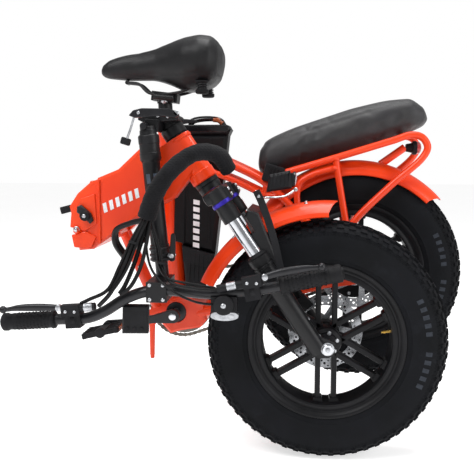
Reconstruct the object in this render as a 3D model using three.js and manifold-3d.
// Folded fat-tyre electric bicycle, stored in its folded state.
// Lengths in millimetres. +Z up, the bicycle's rear half faces -X, the front half is
// folded to the -Y side. Working origin: centre of the front wheel, moved at the end.
import * as THREE from 'three';
import { mergeVertices } from 'three/addons/utils/BufferGeometryUtils.js';
import Module from 'manifold-3d';

const wasm = await Module();
wasm.setup();

// ---- driving dimensions ----
const tyreR = 250;               // 20 x 4 inch class fat tyre on a 16 inch cast wheel
const tyreHalf = 50;
const rimR = 159;
const rimInner = 134;
const rearY = 236;               // distance between the two wheel planes when folded
const rearAxle = [71, rearY, 107];
const legY = 84;                 // fork leg planes
const stayY = 68;                // chain stay and seat stay planes, from the rear plane
const rackY = 72;
const barY = -132;               // plane of the folded handlebar
const foldPin = [-530, 118, 240];
const foldTilt = 12 * Math.PI / 180;
const foldAxis = [-Math.sin(foldTilt), 0, Math.cos(foldTilt)];
const steer = [-0.549, 0, 0.836];
const bottomBracket = [-352, rearY, 5];
const seatTop = [-377, rearY, 440];
const postHinge = [-362, -33, 468];
const postTop = [-362, -66, 462];
const postDown = [0.09, 0, -0.996];
const floorZ = -tyreR;
const boxCentre = [-163.6, 119.5];  // X and Y of the whole object's box centre

// ---- colours ----
const paint = (name, color, roughness, metalness) =>
  Object.assign(new THREE.MeshStandardMaterial({ color, roughness, metalness }), { name });
const orange = () => paint('orange_paint', 0xf0481c, 0.35, 0.1);
const blackPaint = () => paint('black_paint', 0x17171a, 0.4, 0.2);
const blackPlastic = () => paint('black_plastic', 0x1c1c1e, 0.6, 0);
const rubber = () => paint('rubber', 0x19191b, 0.85, 0);
const tyreRubber = () => paint('tyre_rubber', 0x1b1b1d, 0.9, 0);
const chrome = () => paint('chrome', 0xc8c8cc, 0.15, 1);
const steel = () => paint('steel', 0x9a9a9c, 0.35, 1);
const vinyl = () => paint('vinyl', 0x26262a, 0.5, 0);
const redPlastic = () => paint('red_plastic', 0xa81410, 0.3, 0);
const textile = () => paint('textile', 0x1e1e20, 0.9, 0);

// ---- shape helpers: each returns a manifold solid ----
const vec = (p) => new THREE.Vector3(...p);
const along = (p, dir, d) => [p[0] + dir[0] * d, p[1] + dir[1] * d, p[2] + dir[2] * d];
const flat = (list, y) => list.map(([x, z]) => [x, y, z]);

function solid(geometry) {
  geometry.deleteAttribute('normal');
  geometry.deleteAttribute('uv');
  const g = mergeVertices(geometry, 1e-4);
  return new wasm.Manifold(new wasm.Mesh({
    numProp: 3,
    vertProperties: new Float32Array(g.attributes.position.array),
    triVerts: new Uint32Array(g.index.array),
  }));
}

const join = (...parts) => parts.reduce((a, b) => a.add(b));
const cut = (a, ...parts) => parts.reduce((s, b) => s.subtract(b), a);

// straight round bar from a to b, radius ra at a and rb at b
function rod(a, b, ra, rb = ra, seg = 16) {
  const from = vec(a), to = vec(b);
  const g = new THREE.CylinderGeometry(rb, ra, from.distanceTo(to), seg, 1);
  const turn = new THREE.Quaternion().setFromUnitVectors(
    new THREE.Vector3(0, 1, 0), to.clone().sub(from).normalize());
  g.applyQuaternion(turn);
  g.translate(...from.add(to).multiplyScalar(0.5).toArray());
  return solid(g);
}

// turned piece: closed profile of [radius, height] pairs about an axis
function turned(profile, centre, axis, seg = 24) {
  const points = [...profile, profile[0]].map(([r, h]) => new THREE.Vector2(r, h));
  const g = new THREE.LatheGeometry(points, seg);
  g.applyQuaternion(new THREE.Quaternion().setFromUnitVectors(
    new THREE.Vector3(0, 1, 0), vec(axis).normalize()));
  g.translate(...centre);
  return solid(g);
}

// round bar bent smoothly through points
function bent(points, r, steps = 4 * (points.length - 1), seg = 10) {
  const ring = new THREE.Shape();
  for (let i = 0; i < seg; i++) {
    const a = 2 * Math.PI * i / seg;
    ring[i ? 'lineTo' : 'moveTo'](r * Math.cos(a), r * Math.sin(a));
  }
  ring.closePath();
  const path = new THREE.CatmullRomCurve3(points.map(vec), false, 'centripetal');
  return solid(new THREE.ExtrudeGeometry(ring, { steps, bevelEnabled: false, extrudePath: path }));
}

// plate: outline of [x, z] pairs, from y0 to y1, with chamfered edges
function plate(outline, y0, y1, bevel = 0) {
  const shape = new THREE.Shape(outline.map(([x, z]) => new THREE.Vector2(x, z)));
  const g = new THREE.ExtrudeGeometry(shape, {
    depth: y1 - y0 - 2 * bevel, bevelEnabled: bevel > 0, bevelThickness: bevel,
    bevelSize: bevel, bevelOffset: -bevel, bevelSegments: 1,
  });
  g.translate(0, 0, bevel);
  g.rotateX(Math.PI / 2);
  g.translate(0, y1, 0);
  return solid(g);
}

// block centred at p, turned about Y by the given angle
function block(p, size, turnY = 0) {
  const g = new THREE.BoxGeometry(...size);
  g.rotateY(turnY);
  g.translate(...p);
  return solid(g);
}

// curved sheet about an axle: ring sector seen along Y, crowned across its width
function mudguard(axle, rEdge, rCrown, half, from, to, thick) {
  const across = [
    [rEdge, -half], [rCrown - 8, -half * 0.82], [rCrown, -half * 0.35],
    [rCrown, half * 0.35], [rCrown - 8, half * 0.82], [rEdge, half],
    [rEdge, half - thick], [rCrown - 8 - thick, half * 0.82 - thick],
    [rCrown - thick, half * 0.3], [rCrown - thick, -half * 0.3],
    [rCrown - 8 - thick, -half * 0.82 + thick], [rEdge, -half + thick],
  ];
  const shape = new THREE.Shape(across.map(([r, y]) => new THREE.Vector2(r, y)));
  const steps = Math.round((to - from) / 7);
  const g = new THREE.ExtrudeGeometry(shape, { depth: steps, steps, bevelEnabled: false });
  const at = g.attributes.position;
  for (let i = 0; i < at.count; i++) {
    const a = THREE.MathUtils.degToRad(from + (to - from) * at.getZ(i) / steps);
    const r = at.getX(i), y = at.getY(i);
    at.setXYZ(i, axle[0] + r * Math.cos(a), axle[1] + y, axle[2] + r * Math.sin(a));
  }
  return solid(g);
}

// soft body lofted through stations [x, top, bottom, half width] along a tilted spine
function padded(stations, y, around = 18, square = 2.6) {
  const rows = stations.length;
  const g = new THREE.CylinderGeometry(1, 1, 1, around, rows - 1);
  const at = g.attributes.position;
  for (let i = 0; i < at.count; i++) {
    const row = Math.round((0.5 - at.getY(i)) * (rows - 1));
    const [x, top, bottom, half] = stations[row];
    const c = at.getX(i), s = at.getZ(i), size = Math.hypot(c, s);
    const bulge = (q) => Math.sign(q) * Math.abs(q) ** (2 / square);
    const mid = (top + bottom) / 2;
    at.setXYZ(i, x, y + half * (size ? bulge(c) : 0),
      mid + (top - bottom) / 2 * (size ? bulge(s) : 0));
  }
  return solid(g);
}

const group = new THREE.Group();
group.name = 'folded_bicycle';
function piece(name, shape, material) {
  const mesh = shape.simplify(0.02).getMesh();
  const g = new THREE.BufferGeometry();
  g.setAttribute('position', new THREE.BufferAttribute(new Float32Array(mesh.vertProperties), 3));
  g.setIndex(new THREE.BufferAttribute(new Uint32Array(mesh.triVerts), 1));
  g.translate(-boxCentre[0], -boxCentre[1], -floorZ);
  g.computeVertexNormals();
  const m = new THREE.Mesh(g, material);
  m.name = name;
  group.add(m);
}

// ---- wheels: tyre, rim, hub with six double spokes, brake disc ----
// Rim and hub are one casting; they are kept as two pieces with a small gap at the spoke ends.
const tyreProfile = [
  [rimR + 1, -35], [178, -46], [205, -tyreHalf], [230, -47], [243, -37], [tyreR, -15],
  [tyreR, 15], [243, 37], [230, 47], [205, tyreHalf], [178, 46], [rimR + 1, 35],
];
const wheelAxis = [0, 1, 0];
const tyre = (c) => turned(tyreProfile, c, wheelAxis, 40);

const rim = (c) => turned(
  [[rimInner, -36], [rimR, -40], [rimR, 40], [rimInner, 36]], c, wheelAxis, 40);

function castHub(c, hubR, hubHalf) {
  let wheel = rod([c[0], c[1] - hubHalf, c[2]], [c[0], c[1] + hubHalf, c[2]], hubR, hubR, 24);
  for (let k = 0; k < 6; k++) {
    const a = Math.PI / 2 + k * Math.PI / 3;
    for (const side of [-17, 17]) {
      const reach = (hubR * 0.6 + rimInner - 3.3) / 2, long = rimInner - 3.3 - hubR * 0.6;
      const x = c[0] + reach * Math.cos(a) - side * Math.sin(a);
      const z = c[2] + reach * Math.sin(a) + side * Math.cos(a);
      wheel = join(wheel, block([x, c[1], z], [long, 26, 12], -a));
    }
  }
  return cut(wheel, rod([c[0], c[1] - 90, c[2]], [c[0], c[1] + 90, c[2]], 7));
}

function brakeDisc(c, hubClear) {
  const ring = turned([[60, -1], [80, -1], [80, 1], [60, 1]], c, wheelAxis, 24);
  const centre = turned([[hubClear, -1], [28, -1], [28, 1], [hubClear, 1]], c, wheelAxis, 12);
  let disc = join(ring, centre);
  for (let k = 0; k < 5; k++) {
    const a = k * 2 * Math.PI / 5;
    disc = join(disc, block(
      [c[0] + 44 * Math.cos(a), c[1], c[2] + 44 * Math.sin(a)], [38, 2, 9], -a - 0.25));
  }
  return disc;
}

const nut = (p, y0, y1, r) => rod([p[0], y0, p[2]], [p[0], y1, p[2]], r, r, 6);
piece('front_tyre', tyre([0, 0, 0]), tyreRubber());
piece('front_rim', rim([0, 0, 0]), blackPaint());
piece('front_hub', castHub([0, 0, 0], 30, 48), blackPaint());
piece('front_disc', brakeDisc([0, 52, 0], 8), steel());
piece('front_axle', join(rod([0, -96, 0], [0, 96, 0], 5), nut([0, 0, 0], -99, -88.4, 12),
  nut([0, 0, 0], 88.4, 99, 12)), chrome());
piece('rear_tyre', tyre(rearAxle), tyreRubber());
piece('rear_disc', brakeDisc([71, rearY - 47, 107], 8), steel());
piece('rear_axle', join(rod([71, rearY - 92, 107], [71, rearY + 92, 107], 5),
  nut(rearAxle, rearY - 94, rearY - 81.4, 12), nut(rearAxle, rearY + 81.4, rearY + 94, 12)),
  chrome());

// seven-speed cassette as stepped toothed discs
const cassette = turned([[8, -2], [40, -2], [40, 3], [35, 3.5], [35, 9], [30, 9.5], [30, 19],
  [8, 19]], [71, rearY + 43, 107], wheelAxis, 28);
piece('rear_rim', rim(rearAxle), blackPaint());
piece('rear_hub', join(castHub(rearAxle, 62, 42), cassette), blackPaint());

// ---- fork: steerer, crown, stanchions; sprung lower legs carry the front wheel ----
const axisAt = (d) => [-37 + steer[0] * d, 0, steer[2] * d];
const legAt = (d, y) => [-20 + steer[0] * d, y, steer[2] * d];
let crown = join(
  rod(axisAt(342), axisAt(526), 13, 13, 20),
  plate([[-205, 268], [-236, 251], [-290, 330], [-262, 345], [-225, 322]], -legY, legY, 5));
for (const side of [-1, 1]) {
  crown = join(crown, rod(legAt(313, side * legY), legAt(356, side * legY), 21.5, 21.5, 20),
    rod(legAt(356, side * legY), legAt(371, side * legY), 22.5, 19, 20));
}
crown = cut(crown,
  turned([[14, 0], [60, 0], [60, 140], [14, 140]], axisAt(389), steer, 20),
  rod(legAt(300, -legY), legAt(352, -legY), 14.4), rod(legAt(300, legY), legAt(352, legY), 14.4));
piece('fork_crown', crown, blackPaint());
for (const [name, side] of [['near', -1], ['far', 1]]) {
  piece(`stanchion_${name}`, rod(legAt(72, side * legY), legAt(351, side * legY), 14), chrome());
}

let lowers = plate([[-98, 168], [-138, 268], [-160, 276], [-166, 258], [-128, 160]], -legY, legY, 3);
for (const side of [-1, 1]) {
  const y = side * legY;
  lowers = join(lowers, rod(legAt(-8, y), legAt(205, y), 18, 20, 16),
    rod(legAt(202, y), legAt(217, y), 22.5), plate([[14, -14], [14, 14], [-14, 24],
      [-42, 20], [-42, -8], [-14, -20]], y - 4, y + 4));
}
lowers = cut(lowers, turned([[0.01, -56], [290, -56], [290, 56], [0.01, 56]],
  [0, 0, 0], wheelAxis, 44));
for (const side of [-1, 1]) {
  lowers = cut(lowers, rod(legAt(28, side * legY), legAt(350, side * legY), 14.4),
    rod(legAt(262, side * legY), legAt(350, side * legY), 24));
}
lowers = cut(lowers, rod([0, -120, 0], [0, 120, 0], 5.4), rod([0, -130, 0], [0, -88.1, 0], 13.5),
  rod([0, 88.1, 0], [0, 130, 0], 13.5));
piece('fork_lowers', lowers, blackPaint());

// front mudguard and its flat stay
piece('front_mudguard', mudguard([0, 0, 0], 262, 288, 53, 86, 156, 2.2), orange());
piece('mudguard_stay', bent([[-150, -112, 318], [-137, -112, 292], [-112, -111, 225],
  [-93, -109, 146]], 6, 6, 8), blackPaint());

// brake calipers
const discSlot = (c) => turned([[0.01, -2.4], [84, -2.4], [84, 2.4], [0.01, 2.4]], c, wheelAxis, 32);
piece('front_caliper', cut(block([-52, 54, 58], [30, 17, 42], -2.304), discSlot([0, 52, 0])),
  blackPaint());
piece('rear_caliper', cut(join(block([3, 189, 146], [30, 17, 42], -2.618),
  rod([3, 174, 146], [3, 183, 146], 9, 9, 10)), discSlot([71, 189, 107])), blackPaint());

// headlight on a wire bracket fixed to the crown
piece('headlight', join(plate([[-126, 306], [-74, 314], [-78, 350], [-120, 341]], -24, 24, 5),
  block([-73, 0, 332], [8, 36, 26], -0.1)), blackPlastic());
piece('headlight_bracket', bent([[-64, -28, 314], [-88, -29, 299], [-128, -28, 296],
  [-140, -60, 300], [-141, -104, 312]], 2.6, 12, 8), chrome());

// ---- front half of the frame ----
const headLow = axisAt(393.5), headHigh = axisAt(499);
let beam = join(rod(headLow, headHigh, 26.5, 26.5, 24),
  plate([[-476, 194], [-400, 246], [-316, 292], [-266, 356], [-312, 420], [-352, 426],
    [-432, 352], [-476, 334]], -26, 26, 6));
beam = cut(beam, rod(axisAt(360), axisAt(540), 14.2, 14.2, 20),
  turned([[27, -40], [90, -40], [90, -0.01], [27, -0.01]], headLow, steer, 20),
  rod(axisAt(330), axisAt(393), 60), rod(axisAt(499.5), axisAt(560), 60));

const headOutline = [[-517, 183], [-486, 186], [-470, 200], [-470, 334], [-492, 324],
  [-518, 302], [-536, 275]];
const knuckle = (lo, hi, r) =>
  rod(along(foldPin, foldAxis, lo), along(foldPin, foldAxis, hi), r, r, 20);
function knuckleWeb(lo, hi, side) {
  const a = along(foldPin, foldAxis, (lo + hi) / 2);
  return block([a[0] + 9, a[1] + side * 9, a[2] + 2], [16, 16, hi - lo], -foldTilt);
}
let frontHead = join(plate(headOutline, -28, 105, 4), knuckleWeb(-19, 19, -1));
frontHead = join(cut(frontHead, knuckle(19.5, 60, 11), knuckle(-60, -19.5, 11)),
  knuckle(-19, 19, 9.6));
frontHead = cut(frontHead, knuckle(-60, 60, 4.6));
piece('front_frame', join(beam, frontHead, rod([-521, -36, 226], [-512, -20, 226], 8, 8, 6)),
  orange());
piece('fold_latch', join(plate([[-515, 276], [-507, 279], [-487, 262], [-482, 247], [-489, 240],
  [-499, 250], [-516, 264]], -42, -32, 2), rod([-498, -32.5, 257], [-498, -28.4, 257], 7)),
  blackPaint());

// ---- rear half of the frame ----
const seatAxis = vec(seatTop).sub(vec(bottomBracket)).normalize().toArray();
let main = join(
  rod(along(bottomBracket, seatAxis, 0), seatTop, 20.5, 20.5, 20),
  rod([-352, rearY - 38, 5], [-352, rearY + 38, 5], 25, 25, 20),
  plate([[-469, 198], [-360, 300], [-360, 400], [-392, 396], [-469, 336]],
    rearY - 26, rearY + 26, 6),
  rod([-486, rearY, 200], [-404, rearY, 10], 15),
  plate([[-428, -10], [-385, -34], [-352, -20], [-352, 30], [-412, 26]], rearY - 10, rearY + 10));
main = cut(main, rod(along(seatTop, seatAxis, -268), along(seatTop, seatAxis, 10), 17.4, 17.4, 20),
  rod([-352, rearY - 60, 5], [-352, rearY + 60, 5], 11, 11, 20));
let rearHead = join(plate(headOutline, 131, 264, 4), knuckleWeb(22, 44, 1), knuckleWeb(-44, -22, 1));
rearHead = join(cut(rearHead, knuckle(-21, 21, 11)), knuckle(21, 44, 9.6), knuckle(-44, -21, 9.6),
  knuckle(-44, 44, 4));
piece('rear_frame', join(main, rearHead, rod([-420, rearY, -113], [-419, rearY, 0], 6, 8, 10),
  rod([-420, rearY, -120], [-420, rearY, -113], 4, 6, 10)), orange());

const dropout = [[6, 76], [92, 88], [96, 112], [72, 134], [48, 168], [28, 160], [38, 122], [6, 102]];
const dropoutClear = [[5, 75], [93, 87], [97, 112], [73, 135], [48, 169.5], [26, 161], [37, 123],
  [5, 103]];
let yoke = plate([[-388, -24], [-366, -48], [-340, -40], [-293, -32], [-276, -12], [-282, 26],
  [-330, 44], [-366, 36]], rearY - 44, rearY + 44, 6);
for (const side of [-1, 1]) {
  yoke = join(yoke, bent([[-300, rearY + side * 34, 2], [-262, rearY + side * 40, 12],
    [-184, rearY + side * stayY, 34], [-60, rearY + side * stayY, 68],
    [24, rearY + side * stayY, 92]], 11, 8, 10),
  plate(dropout, rearY + side * (stayY + 2) - 4, rearY + side * (stayY + 2) + 4));
}
yoke = cut(yoke, rod([-352, 100, 5], [-352, 400, 5], 25.6, 25.6, 20),
  rod(bottomBracket, seatTop, 21.1, 21.1, 20),
  plate([[-429, -11], [-385, -35], [-351, -21], [-351, 31], [-412, 27]], rearY - 11, rearY + 11),
  rod([71, 100, 107], [71, 400, 107], 5.4));
piece('chain_stays', yoke, orange());

let stays = null;
for (const side of [-1, 1]) {
  const y = (d) => rearY + side * d;
  const upper = bent([[-372, y(14), 404], [-344, y(46), 398], [-280, y(52), 384],
    [-202, y(56), 353], [-137, y(64), 318], [-40, y(stayY), 228], [38, y(stayY), 160]], 9, 12, 8);
  const lower = bent([[-366, y(14), 378], [-336, y(46), 370], [-217, y(54), 325],
    [-137, y(62), 290], [-110, y(66), 288]], 7, 7, 8);
  const tie = rod([-137, y(62), 288], [-137, y(64), 320], 6, 6, 8);
  stays = stays ? join(stays, upper, lower, tie) : join(upper, lower, tie);
}
stays = join(stays, rod([-150, rearY - 62, 325], [-150, rearY + 62, 325], 7, 7, 10));
stays = cut(stays, rod(bottomBracket, along(seatTop, seatAxis, 30), 21, 21, 20),
  plate([[-469, 198], [-359, 299], [-359, 401], [-393, 397], [-469, 337]],
    rearY - 26.6, rearY + 26.6),
  plate(dropoutClear, 140, 340));
piece('seat_stays', stays, orange());

let rack = null;
for (const side of [-1, 1]) {
  const y = rearY + side * rackY;
  const loop = bent(flat([[-118, 334], [-79, 345], [32, 378], [150, 414], [190, 426], [214, 420],
    [226, 399], [216, 376], [150, 316], [67, 232], [58, 214]], y), 8, 20, 8);
  const strut = rod([23, y, 368], [50, y, 214], 7.5, 7.5, 8);
  const hook = bent(flat([[20, 352], [-30, 337], [-58, 318], [-64, 290], [-62, 262]], y), 7, 8, 8);
  const foot = bent(flat([[54, 222], [62, 180], [72, 142]], y), 8, 2, 8);
  const one = join(loop, strut, hook, foot);
  rack = rack ? join(rack, one) : one;
}
for (const [x, z] of [[-90, 342], [32, 378], [175, 422]]) {
  rack = join(rack, rod([x, rearY - rackY, z], [x, rearY + rackY, z], 7, 7, 8));
}
const stayCutters = [-1, 1].map((side) => bent([[-372, rearY + side * 14, 404],
  [-344, rearY + side * 46, 398], [-280, rearY + side * 52, 384], [-202, rearY + side * 56, 353],
  [-137, rearY + side * 64, 318], [-40, rearY + side * stayY, 228],
  [38, rearY + side * stayY, 160]], 9.7, 12, 8));
rack = cut(rack, ...stayCutters, plate(dropoutClear, 140, 340));
piece('rack', rack, orange());

piece('rear_mudguard', join(mudguard(rearAxle, 232, 262, 57, 40, 166, 2.2),
  rod([130, rearY, 359], [186, rearY, 399], 9)), orange());
piece('tail_light', join(rod([192, rearY, 398], [206, rearY, 398], 10, 14, 12),
  rod([206, rearY, 398], [224, rearY, 398], 16, 16, 12)), redPlastic());

// soft pillion cushion on the rack
piece('pillion_cushion', padded([
  [-160, 372, 364, 30], [-156, 396, 344, 54], [-138, 416, 338, 66], [-100, 432, 350.5, 72],
  [-30, 456, 371.5, 76], [60, 486, 398.5, 78], [140, 508, 422.5, 76], [196, 514, 442, 70],
  [224, 500, 450, 56], [236, 478, 462, 30],
], rearY, 20, 3), vinyl());

// battery behind the seat tube, in its cradle, with a carrying handle
piece('battery', join(plate([[-338, 168], [-258, 146], [-226, 430], [-338, 430]],
  rearY - 38, rearY + 38, 10), plate([[-338, 428], [-226, 428], [-220, 440], [-226, 450],
  [-334, 450]], rearY - 36, rearY + 36, 4), bent([[-318, rearY - 14, 446], [-316, rearY - 14, 461],
  [-280, rearY - 14, 468], [-246, rearY - 14, 462], [-238, rearY - 14, 446]], 5, 12, 8)),
blackPlastic());
piece('battery_cradle', plate([[-328, 54], [-282, 66], [-258, 145.4], [-338, 167.4]],
  rearY - 40, rearY + 40, 5), blackPlastic());

// ---- crank set and pedals ----
const crankEnd = { near: [-506, -20], far: [-198, 30] };
let crank = rod([-352, rearY - 84, 5], [-352, rearY + 84, 5], 10, 10, 20);
function crankArm([x, z], y0, y1) {
  const dx = x + 352, dz = z - 5, n = Math.hypot(dx, dz);
  const [ux, uz] = [-dz / n * 11, dx / n * 11];
  return join(plate([[-352 + ux * 1.4, 5 + uz * 1.4], [x + ux, z + uz], [x - ux, z - uz],
    [-352 - ux * 1.4, 5 - uz * 1.4]], y0, y1, 2), rod([x, y0, z], [x, y1, z], 13, 13, 12),
  rod([-352, y0, 5], [-352, y1, 5], 17, 17, 16));
}
crank = join(crank, crankArm(crankEnd.near, rearY - 92, rearY - 81),
  crankArm(crankEnd.far, rearY + 81, rearY + 92));
for (const [side, [x, z]] of Object.entries(crankEnd)) {
  const s = side === 'near' ? -1 : 1, inner = rearY + s * 86;
  crank = join(crank, rod([x, inner, z], [x, inner + s * 78, z], 4.5, 4.5, 12));
}
crank = join(crank, turned([[9, 0], [78, 0], [78, 3], [9, 3]], [-352, rearY + 58.5, 5],
  wheelAxis, 40));
piece('crank_set', crank, blackPaint());
function pedal([x, z], y0, y1, tilt) {
  const y = (y0 + y1) / 2, wide = y1 - y0;
  return cut(join(block([x, y, z], [88, wide, 15], tilt), rod([x, y0, z], [x, y1, z], 12, 12, 12)),
    rod([x, y0 - 5, z], [x, y1 + 5, z], 5.2, 5.2, 12));
}
piece('pedal_near', pedal(crankEnd.near, rearY - 166, rearY - 94, -0.22), blackPlastic());
piece('pedal_far', pedal(crankEnd.far, rearY + 94, rearY + 166, -0.22), blackPlastic());

// chain: a thin closed band around chainring and sprocket
function band(a, ra, b, rb, grow) {
  const angle = Math.atan2(b[1] - a[1], b[0] - a[0]);
  const lean = Math.acos((ra - rb) / Math.hypot(b[0] - a[0], b[1] - a[1]));
  const points = [];
  for (let i = 0; i <= 12; i++) {
    const t = angle + lean + (2 * Math.PI - 2 * lean) * i / 12;
    points.push([a[0] + (ra + grow) * Math.cos(t), a[1] + (ra + grow) * Math.sin(t)]);
  }
  for (let i = 0; i <= 8; i++) {
    const t = angle - lean + 2 * lean * i / 8;
    points.push([b[0] + (rb + grow) * Math.cos(t), b[1] + (rb + grow) * Math.sin(t)]);
  }
  return points;
}
const chainA = [-352, 5], chainB = [71, 107];
piece('chain', cut(plate(band(chainA, 78.6, chainB, 30.6, 7), rearY + 57, rearY + 63),
  plate(band(chainA, 78.6, chainB, 30.6, 0.2), rearY + 50, rearY + 70)), steel());

// ---- saddle and seat post ----
piece('seat_post', rod(along(seatTop, seatAxis, -240), along(seatTop, seatAxis, 64), 17, 17, 20),
  blackPaint());
piece('seat_collar', cut(join(rod(along(seatTop, seatAxis, 0.5), along(seatTop, seatAxis, 24),
  24, 24, 20), block([-354, rearY, 456], [18, 16, 16]),
  rod([-350, rearY - 24.4, 459], [-350, rearY, 459], 4, 4, 10)),
rod(along(seatTop, seatAxis, -5), along(seatTop, seatAxis, 40), 17.4, 17.4, 20)), blackPaint());
piece('seat_lever', join(rod([-350, rearY - 31, 451], [-350, rearY - 31, 467], 6, 6, 10),
  plate([[-350, 453], [-338, 452], [-300, 456], [-300, 463], [-338, 466], [-350, 465]],
    rearY - 35, rearY - 27, 2)), blackPaint());
const clampAt = along(seatTop, seatAxis, 66);
piece('saddle_clamp', join(block([clampAt[0] + 2, rearY, clampAt[2] + 12], [62, 44, 22], 0.12),
  rod(along(seatTop, seatAxis, 64.6), along(seatTop, seatAxis, 80), 19)), blackPaint());
let rails = null;
for (const side of [-1, 1]) {
  const r = bent([[-470, rearY + side * 8, 553], [-440, rearY + side * 16, 548],
    [-412, rearY + side * 27, 526], [-345, rearY + side * 27, 527],
    [-290, rearY + side * 40, 547]], 3.6, 8, 6);
  rails = rails ? join(rails, r) : r;
}
rails = join(rails, rod([-470, rearY - 12, 553], [-470, rearY + 12, 553], 5, 5, 8),
  rod([-290, rearY - 46, 547], [-290, rearY + 46, 547], 5, 5, 8));
for (const side of [-1, 1]) {
  rails = join(rails, rod([-284, rearY + side * 55, 522], [-284, rearY + side * 55, 550],
    15, 17, 12));
}
piece('saddle_rails', rails, blackPaint());
piece('saddle', padded([
  [-538, 584, 572, 6], [-533, 594, 564, 17], [-516, 606, 560, 24], [-484, 615, 559.5, 28],
  [-440, 621, 559, 32], [-400, 629, 559, 42], [-362, 641, 558, 62], [-325, 655, 554, 84],
  [-290, 663, 554, 95], [-262, 660, 558, 92], [-244, 645, 570, 74], [-235, 622, 592, 34],
], rearY, 20, 2.3), vinyl());

// ---- folded handlepost ----
const postAt = (d, y = postTop[1]) => [postTop[0] + postDown[0] * d, y, postTop[2] + postDown[2] * d];
const hingeAxis = [0.946, 0, 0.324];
let stemBase = join(rod(axisAt(502), axisAt(541), 24, 24, 20),
  block([-356, -14, 457], [46, 26, 22], -0.33));
stemBase = cut(stemBase, rod(axisAt(490), axisAt(527), 13.6, 13.6, 20),
  rod(along(postHinge, hingeAxis, -40), along(postHinge, hingeAxis, 40), 9, 9, 16));
stemBase = join(stemBase, rod(along(postHinge, hingeAxis, -20), along(postHinge, hingeAxis, 8), 4),
  rod(along(postHinge, hingeAxis, 8.5), along(postHinge, hingeAxis, 20), 8.2),
  rod(along(postHinge, hingeAxis, -20), along(postHinge, hingeAxis, -8.5), 8.2));
stemBase = join(stemBase, block([-345, -26, 466], [10, 14, 10], -0.33),
  block([-379, -26, 455], [8, 14, 10], -0.33));
piece('stem_base', stemBase, blackPaint());
let post = join(rod(postAt(4), postAt(106), 22, 22, 20), rod(postAt(103), postAt(112), 25, 25, 20),
  rod(postAt(109), postAt(268), 17.5, 17.5, 20), block([-357.8, -52, 455.7], [14, 28, 16], -0.33),
  block([-308, -70, 460], [40, 15.2, 34]), block([-334, -70, 450], [24, 15, 18]));
post = join(post, rod(postAt(260), postAt(292), 21, 21, 20),
  block([postAt(280)[0] + 24, -66, postAt(280)[2]], [16, 14, 16]));
post = cut(post, rod(postAt(60), postAt(300), 13.4, 13.4, 20));
post = join(cut(post, rod(along(postHinge, hingeAxis, -40), along(postHinge, hingeAxis, 40), 9, 9, 16)),
  rod(along(postHinge, hingeAxis, -8), along(postHinge, hingeAxis, 8), 8.2),
  block([-359, -44, 459.5], [12, 12, 10], -0.33));
post = cut(post, rod(along(postHinge, hingeAxis, -40), along(postHinge, hingeAxis, 40), 4.5));
piece('handlepost', post, blackPaint());
piece('post_latch', join(plate([[-392, 474], [-372, 484], [-300, 482], [-286, 474], [-296, 467],
  [-340, 471], [-376, 468]], -92, -78, 3),
bent([[-378, -88, 474], [-386, -94, 446], [-398, -94, 408]], 2.6, 4, 8)), blackPaint());
piece('post_lever', join(rod([-309, -88, 183], [-309, -73.4, 183], 6, 6, 10),
  plate([[-315, 176], [-303, 176], [-302, 226], [-310, 228]], -94, -86.4, 2)), chrome());
piece('inner_post', join(rod(postAt(90), postAt(345), 13, 13, 20)), blackPaint());

// ---- handlebar, parallel to the folded wheels ----
const barPath = [[-643, 52], [-530, 60], [-470, 64], [-435, 78], [-395, 103], [-355, 118],
  [-316, 122], [-277, 120], [-238, 117], [-199, 118], [-128, 127], [20, 160]];
const barLine = flat(barPath, barY);
piece('handlebar', bent(barLine, 11, 22, 10), blackPaint());
const clampBox = [postAt(345)[0], 0, 119];
piece('bar_clamp', cut(join(block([clampBox[0], -97, 119], [40, 96, 40])),
  bent(barLine, 11.6, 22, 10), rod(postAt(60), postAt(346), 13.4, 13.4, 20)), blackPaint());
const gripL = [[-643, 52], [-534, 60]], gripR = [[20, 160], [-94, 134]];
const sleeveOn = ([a, b], r, inset) => {
  const p = [a[0], barY, a[1]], q = [b[0], barY, b[1]];
  const out = vec(p).sub(vec(q)).normalize().toArray();
  return cut(rod(along(p, out, 4), q, r, r - 1, 16), bent(barLine, inset, 22, 10));
};
piece('grip_left', sleeveOn(gripL, 17, 11.6), rubber());
piece('grip_right', sleeveOn(gripR, 17, 11.6), rubber());

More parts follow.
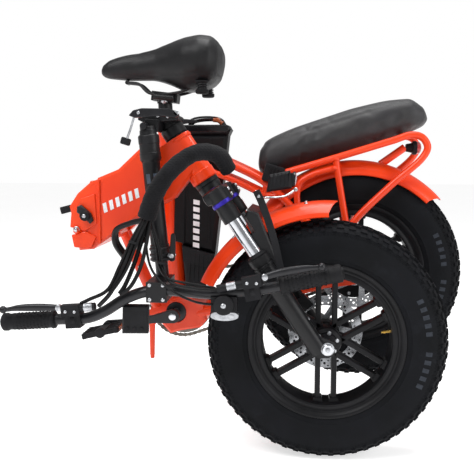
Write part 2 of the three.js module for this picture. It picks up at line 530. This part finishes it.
// brake levers: perch on the bar, blade swings toward the grip
const barCutter = bent(barLine, 11.6, 22, 10);
function perch(x, z, tilt) {
  return cut(join(block([x, barY, z], [30, 32, 32], tilt),
    block([x, barY - 22, z + 22], [36, 18, 22], tilt)), barCutter);
}
const bladeY = barY - 22;
piece('perch_left', join(perch(-496, 62, -0.07),
  rod([-482, bladeY, 88], [-448, bladeY, 92], 7, 8, 12)), blackPlastic());
piece('perch_right', join(perch(-146, 123, -0.2),
  rod([-212, bladeY, 130], [-158, bladeY, 142], 8, 7, 12)), blackPlastic());
piece('brake_lever_left', join(bent(flat([[-520, 88], [-556, 88], [-600, 86], [-626, 82]], bladeY),
  5.5, 9, 8), rod([-638, bladeY, 82], [-626, bladeY, 82], 7.5, 7.5, 10)), blackPaint());
piece('brake_lever_right', join(bent(flat([[-122, 154], [-98, 162], [-50, 171], [-22, 174]], bladeY),
  5.5, 9, 8), rod([-22, bladeY, 174], [-10, bladeY, 176], 7.5, 7.5, 10)), blackPaint());
piece('shifter_pod', cut(join(block([-200, barY, 98], [50, 30, 30], 0)), barCutter),
  blackPlastic());
piece('shifter_lever', plate([[-224, 80], [-174, 81], [-180, 73], [-198, 68], [-214, 72]],
  barY - 12, barY + 8, 2), steel());
piece('display', cut(plate([[-404, 32], [-352, 33], [-350, 90], [-402, 90]], barY + 3, barY + 22, 4),
  barCutter), blackPlastic());

// ---- cable wrap and cable runs ----
const wrapPath = [[-352, -120, 262], [-338, -122, 300], [-300, -118, 350], [-252, -88, 380],
  [-218, -62, 372], [-206, -50, 344]];
piece('cable_wrap', bent(wrapPath, 23, 10, 10), textile());
piece('bar_cables', join(bent([[-354, -124, 256], [-373, -132, 219], [-394, -146, 165],
  [-418, -156, 118], [-441, -154, 93]], 6, 8, 6),
bent([[-344, -116, 253], [-330, -112, 200], [-322, -118, 160],
  [-300, -150, 140], [-250, -156, 130], [-213, -154, 127.6]], 5, 10, 6),
rod([-356, -125.5, 254], [-342, -114.5, 251], 4.5)), rubber());
piece('cable_frame', bent([[-360, -110, 256], [-390, -96, 248], [-424, -78, 232], [-432, -60, 206],
  [-420, -30, 170], [-430, 40, 150], [-440, 110, 160], [-440, 196, 170], [-430, 216, 178]],
5, 14, 6), rubber());

export default group;
